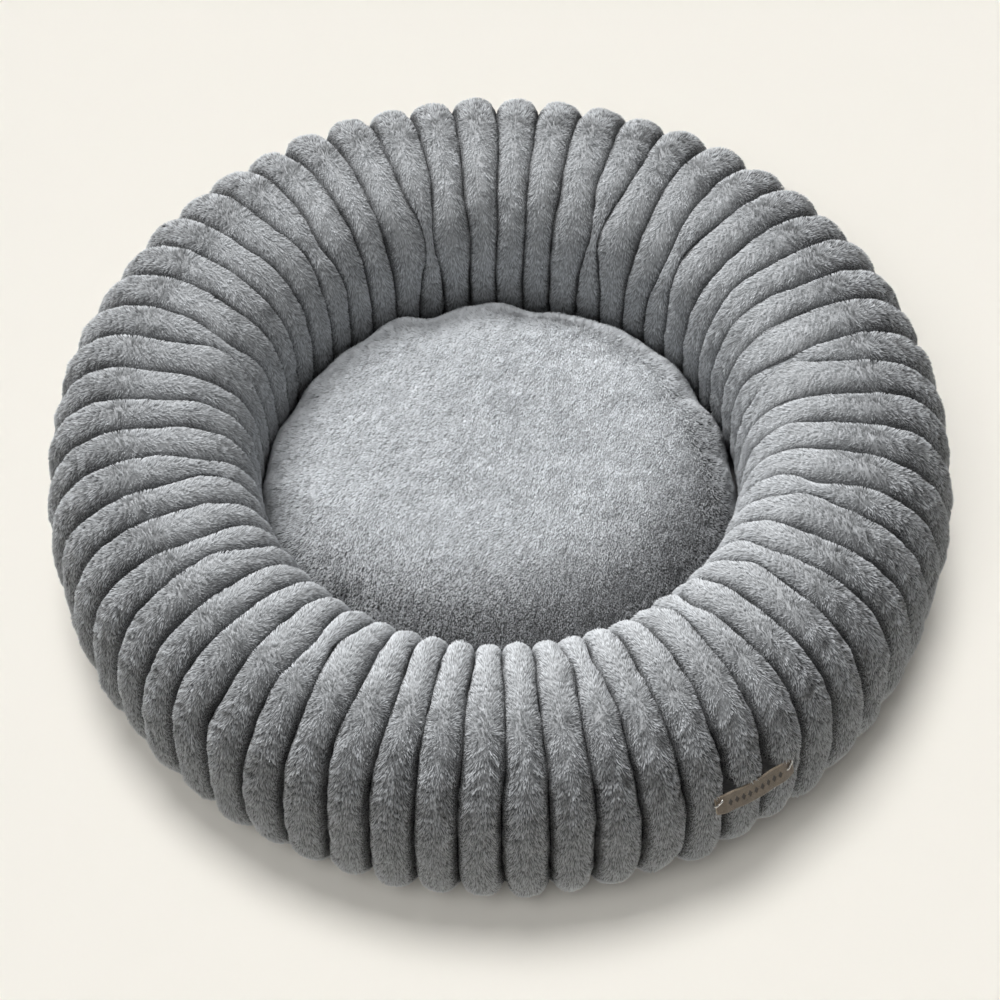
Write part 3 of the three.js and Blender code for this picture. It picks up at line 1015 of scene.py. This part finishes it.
def settle_cloth(grid, flat, share):
    """The panel after Blender's cloth simulation has gathered it to its seam under a light pressure."""
    rows, columns = grid.shape[:2]
    panel = new_piece("cushion_cloth", grid, grid_faces(rows, columns, wraps=False), plush)
    panel.shape_key_add(name="Basis")
    cut = panel.shape_key_add(name="cut")
    cut_places = stacked(flat[..., 0], flat[..., 1], cushion_skirt)
    cut.data.foreach_set("co", cut_places.astype(np.float32).ravel())
    held = panel.vertex_groups.new(name="held")
    for index, place in enumerate(share.ravel()):
        held.add([index], 1.0 if place > 0.985 else 0.12, "REPLACE")
    modifier = panel.modifiers.new("cloth", "CLOTH")
    cloth = modifier.settings
    cloth.rest_shape_key = cut
    cloth.vertex_group_mass = "held"
    cloth.pin_stiffness = 0.6
    cloth.quality = 6
    cloth.mass = 0.25
    cloth.tension_stiffness = 12
    cloth.compression_stiffness = 8
    cloth.shear_stiffness = 4
    cloth.bending_stiffness = 0.6
    cloth.tension_damping = 6
    cloth.compression_damping = 6
    cloth.air_damping = 2
    cloth.use_pressure = True
    cloth.uniform_pressure_force = 3
    cloth.effector_weights.gravity = 0
    modifier.collision_settings.use_collision = False
    scene = bpy.context.scene
    for step in range(1, SETTLE_STEPS + 1):
        scene.frame_set(step)
    shape = panel.evaluated_get(bpy.context.evaluated_depsgraph_get()).to_mesh()
    settled = np.zeros(rows * columns * 3, np.float32)
    shape.vertices.foreach_get("co", settled)
    scene.frame_set(1)
    bpy.data.objects.remove(panel)
    moved = settled.reshape(grid.shape) - grid
    far = np.linalg.norm(moved, axis=-1, keepdims=True)
    return grid + moved * np.minimum(1, CUSHION_BULGE / np.maximum(far, 1e-9))


def finer(grid):
    """The grid with a point added between each two, smoothed."""
    for axis in (0, 1):
        grid = np.moveaxis(grid, axis, 0)
        dense = np.zeros((2 * len(grid) - 1, *grid.shape[1:]))
        dense[::2] = grid
        dense[1::2] = (grid[:-1] + grid[1:]) / 2
        dense[2:-2:2] = 0.75 * grid[1:-1] + 0.125 * (grid[:-2] + grid[2:])
        grid = np.moveaxis(dense, 0, axis)
    return grid


def painted_nap_shade(places, share):
    """Painted shade on the cushion's pile, from 0 to 1, for pile brushed towards the light; less of it
    near the edge.
    """
    away = np.hypot(places[..., 0] - LIT_MIDDLE[0], places[..., 1] - LIT_MIDDLE[1])
    painted_nap_darkness = smooth_step(*LIT_RADII, away)
    return painted_nap_darkness * (1 - 0.8 * smooth_step(0.80, 0.92, share))


def add_cushion_pile(grid, share, parent):
    """Short pile that lies mostly one way and turns outward over the cushion's edge."""
    row = rng.uniform(0, grid.shape[0] - 1, CUSHION_TUFTS)
    column = rng.uniform(0, grid.shape[1] - 1, CUSHION_TUFTS)
    normals = grid_normals(grid, wraps=False)[0]
    roots, normal, place = sample_grid([grid, normals, share[..., None]], row, column, False)
    normal = unit(normal)
    outward = unit(roots * [1, 1, 0])
    heading = math.radians(NAP_HEADING) + 0.4 * Noise(71)(roots, 0.07) + 0.15 * Noise(72)(roots, 0.02)
    nap = stacked(np.cos(heading), np.sin(heading), 0.0)
    edge = smooth_step(0.62, 0.85, place)
    lift = 0.5 + 0.1 * Noise(73)(roots, 0.006)
    direction = (
        normal * lift[:, None]
        + nap * 0.8 * (1 - edge)
        + (outward - [0, 0, 0.6]) * 0.6 * edge
        + 0.05 * Noise(74, parts=3).vector(roots, 0.0022)
        + rng.normal(0, 0.05, roots.shape)
    )
    length = 1.2 * CUSHION_PILE * rng.uniform(0.8, 1.15, len(roots))
    tips = roots + unit(direction) * length[:, None]
    bow = normal * (0.1 * length)[:, None]
    painted_nap_darkness = painted_nap_shade(roots, place.ravel())
    combed = turned(roots, COMBED_HEADING)
    clumps = Noise(75)(combed / [0.0058, 0.0011, 1.0])
    tufts = Noise(76, parts=3).vector(combed / [0.0060, 0.0014, 1.0])
    facing = unit(normal + 0.32 * tufts)
    # painted shade between clumps of pile
    gap_shade = np.minimum(clumps + 0.2, 0)
    # painted shade: darker in the gaps and away from the lit middle; the rest is random tone
    tone_and_painted_shade = 0.84 + 0.45 * gap_shade + rng.uniform(-0.04, 0.04, len(roots)) - 1.2 * painted_nap_darkness
    roots = roots - normal * TUFT_ROOT
    add_pile("cushion_pile", roots, tips, bow, facing, tone_and_painted_shade, cushion_hair, parent)


def make_cushion():
    """The loose cushion: its plush panel and pile, stuffing, side band, underside and zip."""
    grid, flat, share = cushion_start()
    grid = settle_cloth(grid, flat, share)
    grid = finer(grid)
    flat = finer(flat)
    share = polar(flat)[0]
    share = share / share.max()
    normals = grid_normals(grid, wraps=False)[0]
    lumps = Noise(63)(grid, 0.012) + Noise(64)(grid, 0.006)
    grid = grid + normals * (0.0005 * lumps * (1 - smooth_step(0.95, 1.0, share)))[..., None]
    panel = cloth_sheet("cushion_plush", grid, PANEL_THICKNESS, plush, flat)
    place = stacked(flat[..., 0], flat[..., 1], 0.0)
    sway = 0.006 * Noise(65, parts=3).vector(place, 0.04)
    lean = turned(place + sway, NAP_HEADING).reshape(-1, 3)
    mark(panel, "lean", np.concatenate([lean, lean]))
    # painted shade for the plush: darker round the rim, and away from the lit middle
    deep = (0.8 * smooth_step(0.9, 1.0, share) + 0.8 * painted_nap_shade(grid, share)).ravel()
    mark(panel, "depth", np.concatenate([deep, deep]))
    fit(panel, "cushion", "plush", "cushion_top")
    add_cushion_pile(grid, share, panel)
    make_cushion_stuffing(grid)
    make_cushion_band()
    low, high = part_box("cushion_bottom")
    bottom = disc_sheet(
        "cushion_underside", high.x, low.z, CUSHION_UNDERSIDE_THICKNESS, base_cloth, 0.0001, 66,
        facing_up=False,
    )
    fit(bottom, "cushion", "base_fabric", "cushion_bottom")
    make_zip()


def make_cushion_stuffing(grid):
    """The pad inside the cushion's cover: the panel's shape inset, with a flat bottom."""
    coarse = grid[::3, ::3]
    top = coarse * [PAD_SHRINK, PAD_SHRINK, 1]
    top[..., 2] += 0.001 * Noise(67)(coarse, 0.011) - PAD_DROP
    bottom = top * [PAD_BOTTOM_SHRINK, PAD_BOTTOM_SHRINK, 0]
    bottom[..., 2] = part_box("cushion_fill")[0].z
    pad = new_piece("cushion_stuffing", *shell(top, bottom), stuffing)
    fit(pad, "cushion", "fibre_fill", "cushion_fill")


def make_cushion_band():
    """The cloth band round the cushion's side, open along the zip."""
    low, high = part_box("cushion_side_band")
    radius = high.x
    columns = 360
    azimuth = 2 * math.pi * np.arange(columns) / columns
    slot = zip_slot()
    lower_rows = np.linspace(low.z, slot[0], 6)
    upper_rows = np.linspace(slot[1], high.z, 6)
    rows = np.unique(np.concatenate([lower_rows, slot, upper_rows]))
    gather = Noise(68)(at_azimuth(30, azimuth[None], rows[:, None] * 40))
    near_seam = 1 - np.minimum(rows - low.z, high.z - rows) / ((high.z - low.z) / 2)
    slack = 0.0004 * gather * near_seam[:, None]
    grid = at_azimuth(radius - 0.0004 + slack, azimuth[None], rows[:, None])
    first, last = round_box("zip_tape_lower")[1]
    cell = 2 * math.pi / columns
    margin = math.radians(TAPE_END) - cell / 2
    along_zip = (azimuth > first + margin) & (azimuth + cell < last - margin)
    in_slot = (rows[:-1] > slot[0] - 1e-6) & (rows[1:] < slot[1] + 1e-6)
    holes = in_slot[:, None] & along_zip[None]
    flat = stacked(azimuth[None] * radius, rows[:, None])
    band = cloth_sheet("cushion_band", grid, BAND_THICKNESS, base_cloth, flat, wraps=True, holes=holes)
    fit(band, "cushion", "base_fabric", "cushion_side_band")


def zip_slot():
    """The heights between which the band is open for the zip."""
    lower = round_box("zip_tape_lower")[2]
    upper = round_box("zip_tape_upper")[2]
    return lower[0] + TAPE_SIDE, upper[1] - TAPE_SIDE


def make_zip():
    """The zip's tapes and wound teeth; its stops, slider and pull are the CAD nodes themselves."""
    for part in ("lower", "upper"):
        make_zip_tape(part)
        make_zip_coil(part)
    for name in ("zip_stop_closed", "zip_stop_open", "zip_slider", "zip_pull"):
        finish_metal_node(name)


def make_zip_tape(part):
    """Half of the zip's woven tape, bent to the cushion's round side."""
    radii, azimuths, heights = round_box(f"zip_tape_{part}")
    azimuth = np.linspace(*azimuths, 160)
    height = np.linspace(*heights, 9)
    ridge = 0.00015 * np.cos((height - heights[0]) / (heights[1] - heights[0]) * 2 * math.pi * 3)
    grid = at_azimuth(radii[1] - 0.00015 + ridge[:, None], azimuth[None], height[:, None])
    flat = stacked(azimuth[None] * radii[1], height[:, None])
    tape_half = cloth_sheet(f"zip_tape_{part}_woven", grid, TAPE_THICKNESS, tape, flat)
    fit(tape_half, "cushion", "tape_fabric", f"zip_tape_{part}")


def make_zip_coil(part):
    """One side of the zip's teeth: a wound nylon coil whose turns point at the other side's."""
    radii, azimuths, heights = round_box(f"zip_coil_{part}")
    middle_r = sum(radii) / 2
    turns = round((azimuths[1] - azimuths[0]) * middle_r / TOOTH_PITCH)
    angle = np.linspace(0, 2 * math.pi * turns, 12 * turns)
    deep = (radii[1] - radii[0]) / 2 - TOOTH_WIRE
    tall = (heights[1] - heights[0]) / 2 - TOOTH_WIRE
    margin = 0.004
    span = azimuths[1] - azimuths[0] - 2 * margin
    azimuth = azimuths[0] + margin + span * angle / angle[-1]
    shift = 0.0 if part == "lower" else math.pi
    radius = middle_r + deep * np.sin(angle + shift)
    height = sum(heights) / 2 + tall * np.cos(angle + shift)
    tube = sweep(at_azimuth(radius, azimuth, height), TOOTH_WIRE, 6)
    coil = new_piece(f"zip_coil_{part}_wound", *tube, nylon)
    fit(coil, "cushion", "nylon", f"zip_coil_{part}")


def finish_metal_node(name):
    """Rounds a small metal part's edges and gives it its plating."""
    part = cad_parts[name]
    for slot in part.material_slots:
        slot.material = zip_metal
    bevel = part.modifiers.new("edges", "BEVEL")
    bevel.width = 0.0002
    bevel.segments = 2
    bevel.limit_method = "ANGLE"


# ---- Label ----

def groove_place(azimuth):
    """Ribs counted from the front middle at an azimuth; a whole number is a groove."""
    places = np.arange(-RIBS, RIBS)
    return np.interp(azimuth, rib_azimuth(places), places)


def label_face(u, v):
    """Azimuth, radius and height of the label's face at a place along it, u, and across it, v."""
    low, high = label_azimuths
    length = (high - low) * label_radii[1]
    azimuth = (low + high) / 2 + u / label_radii[1]
    sag = -0.0014 * np.cos(np.pi * u / length)
    lean = math.radians(LABEL_LEAN)
    height = sum(label_heights) / 2 + v * math.cos(lean) + sag
    dip = -0.0005 * np.cos(np.pi * (groove_place(azimuth) % 1)) ** 6
    ends = -0.0012 * smooth_step(0.36 * length, 0.5 * length, np.abs(u))
    radius = label_radii[1] - LABEL_SINK + dip + ends - v * math.sin(lean)
    return azimuth, radius, height


def make_label():
    """A leather strip stapled over the ribs, pressed into the pile, with a row of pressed lozenges."""
    length = (label_azimuths[1] - label_azimuths[0]) * label_radii[1]
    width = label_heights[1] - label_heights[0]
    u = np.linspace(-0.5, 0.5, 175)[None] * length
    v = np.linspace(-0.5, 0.5, 47)[:, None] * width
    past = np.maximum(np.abs(u) - (length / 2 - LABEL_CORNER), 0)
    rise = np.sqrt(np.maximum(LABEL_CORNER**2 - past**2, 0))
    v = v * (width / 2 - LABEL_CORNER + rise) / (width / 2)
    edge = np.minimum(width / 2 - np.abs(v), length / 2 - np.abs(u))
    rounding = -0.0004 * (1 - smooth_step(0, 0.0008, edge))
    spacing = 0.72 * length / LABEL_MARKS
    nearest = np.clip(np.round(u / spacing), -(LABEL_MARKS // 2), LABEL_MARKS // 2)
    lozenge = np.abs(u - nearest * spacing) / LOZENGE[0] + np.abs(v) / LOZENGE[1]
    pressed = 1 - smooth_step(0.75, 1.0, lozenge)
    azimuth, radius, height = label_face(u, v)
    grid = at_azimuth(radius + rounding - 0.0003 * pressed, azimuth, height)
    strip = cloth_sheet("label_leather_strip", grid, LABEL_THICKNESS, leather, stacked(u, v))
    wear = 1 - smooth_step(0.0003, 0.0011, edge)
    for name, values in (("wear", wear), ("pressed", pressed)):
        mark(strip, name, np.concatenate([values.ravel()] * 2))
    fit(strip, "bed", "label_leather", "label_strip")
    for side in ("left", "right"):
        make_staple(side)


def make_staple(side):
    """A bent wire slanting through the label's end, with its legs going into the bed."""
    azimuths, heights = round_box(f"label_staple_{side}")[1:]
    leg = [0.0, 0.0, 0.03, 0.1]
    share = np.array([*leg, 0.3, 0.5, 0.7, *(1 - place for place in reversed(leg))])
    sunk = [0.0035, 0.0015, 0.0006, 0.0001]
    inward = np.array([*sunk, 0, 0, 0, *reversed(sunk)])
    along = azimuths[0] + (azimuths[1] - azimuths[0]) * share - sum(label_azimuths) / 2
    across = (heights[1] - heights[0]) * (share - 0.5) + 0.002
    azimuth, radius, height = label_face(along * label_radii[1], across)
    path = at_azimuth(radius + 0.8 * STAPLE_WIRE - inward, azimuth, height)
    staple = new_piece(f"label_wire_staple_{side}", *sweep(path, STAPLE_WIRE, 10), staple_metal)
    fit(staple, "bed", "staple_metal", f"label_staple_{side}")


# ---- Build ----

plush = plush_material("plush", 0.11, 0.53)
pile = pile_material("pile", 0.03, 0.46, 0.80)
cushion_hair = pile_material("cushion_pile", 0.08, 0.60, 0.91)
lining = woven_material("lining_cloth", 0.35, 0.55, pitch=0.0009)
base_cloth = woven_material("base_fabric", 0.035, 0.11)
tape = woven_material("tape_fabric", 0.06, 0.16, pitch=0.0010, twill=True)
stuffing = fibre_material("fibre_fill", 0.85, 900.0)
felt = fibre_material("felt", 0.45, 1600.0)
thread = plastic_material("thread", 0.16, 0.24, 0.6)
nylon = plastic_material("nylon", 0.20, 0.30, 0.35)
rubber = plastic_material("grip_rubber", 0.25, 0.32, 0.5)
leather = leather_material()
zip_metal = metal_material("zip_metal", (0.45, 0.45, 0.46), 0.35)
staple_metal = metal_material("staple_metal", (0.85, 0.83, 0.80), 0.25)

make_bolster()
make_base()
make_cushion()
make_label()

# ---- Floor, light and camera ----

def make_floor():
    """A plain floor, which has lamps of its own."""
    half = 30  # metres
    corners = [(-half, -half, 0), (half, -half, 0), (half, half, 0), (-half, half, 0)]
    mesh = bpy.data.meshes.new("floor")
    mesh.from_pydata(corners, [], [(0, 1, 2, 3)])
    looks = {"Roughness": 0.9, "Specular_IOR_Level": 0.1, "Base_Color": (*FLOOR_COLOUR, 1)}
    mesh.materials.append(new_material("floor", **looks)[0])
    made = bpy.data.objects.new("floor", mesh)
    bpy.context.scene.collection.objects.link(made)
    return made


def make_world():
    """Soft even light all round, with a brighter backdrop behind the floor's horizon."""
    world = bpy.data.worlds.new("studio")
    world.use_nodes = True
    tree = world.node_tree
    light = tree.nodes["Background"]
    light.inputs["Color"].default_value = (*AMBIENT_COLOUR, 1)
    light.inputs["Strength"].default_value = AMBIENT
    shown = node(tree, "Background", {"Color": (*BACKDROP_COLOUR, 1), "Strength": 1.0})
    seen = node(tree, "LightPath").outputs["Is Camera Ray"]
    mix = node(tree, "MixShader", {0: seen, 1: light.outputs[0], 2: shown.outputs[0]})
    tree.links.new(mix.outputs[0], tree.nodes["World Output"].inputs["Surface"])
    bpy.context.scene.world = world


def make_sun(name, azimuth, elevation, spread, strength, lights):
    """A soft distant lamp that lights both the bed and the floor, or one of them."""
    light = bpy.data.lights.new(name, "SUN")
    light.angle = math.radians(spread)
    light.energy = strength
    lamp = bpy.data.objects.new(name, light)
    turn, rise = math.radians(azimuth), math.radians(elevation)
    source = Vector((math.cos(rise) * math.cos(turn), math.cos(rise) * math.sin(turn), math.sin(rise)))
    lamp.rotation_euler = source.to_track_quat("Z", "Y").to_euler()
    lamp.location = source * 3
    bpy.context.scene.collection.objects.link(lamp)
    if lights != "both":
        lit = bpy.data.collections.new(name + "_lights")
        lit.objects.link(floor)
        lit.collection_objects[0].light_linking.link_state = "INCLUDE" if lights == "floor" else "EXCLUDE"
        lamp.light_linking.receiver_collection = lit


def make_camera():
    """The camera in front, looking down on the bed."""
    data = bpy.data.cameras.new("camera")
    data.lens = CAMERA_LENS
    data.sensor_width = 36
    data.shift_y = -CAMERA_RISE
    camera = bpy.data.objects.new("camera", data)
    bpy.context.scene.collection.objects.link(camera)
    aim = Vector((0, 0, section_middle[1]))
    elevation = math.radians(CAMERA_ELEVATION)
    camera.location = aim + CAMERA_DISTANCE * Vector((0, -math.cos(elevation), math.sin(elevation)))
    camera.rotation_euler = (aim - camera.location).to_track_quat("-Z", "Y").to_euler()
    bpy.context.scene.camera = camera


floor = make_floor()
make_world()
for lamp in LAMPS:
    make_sun(*lamp)
make_camera()
bpy.context.scene.view_settings.view_transform = "Standard"
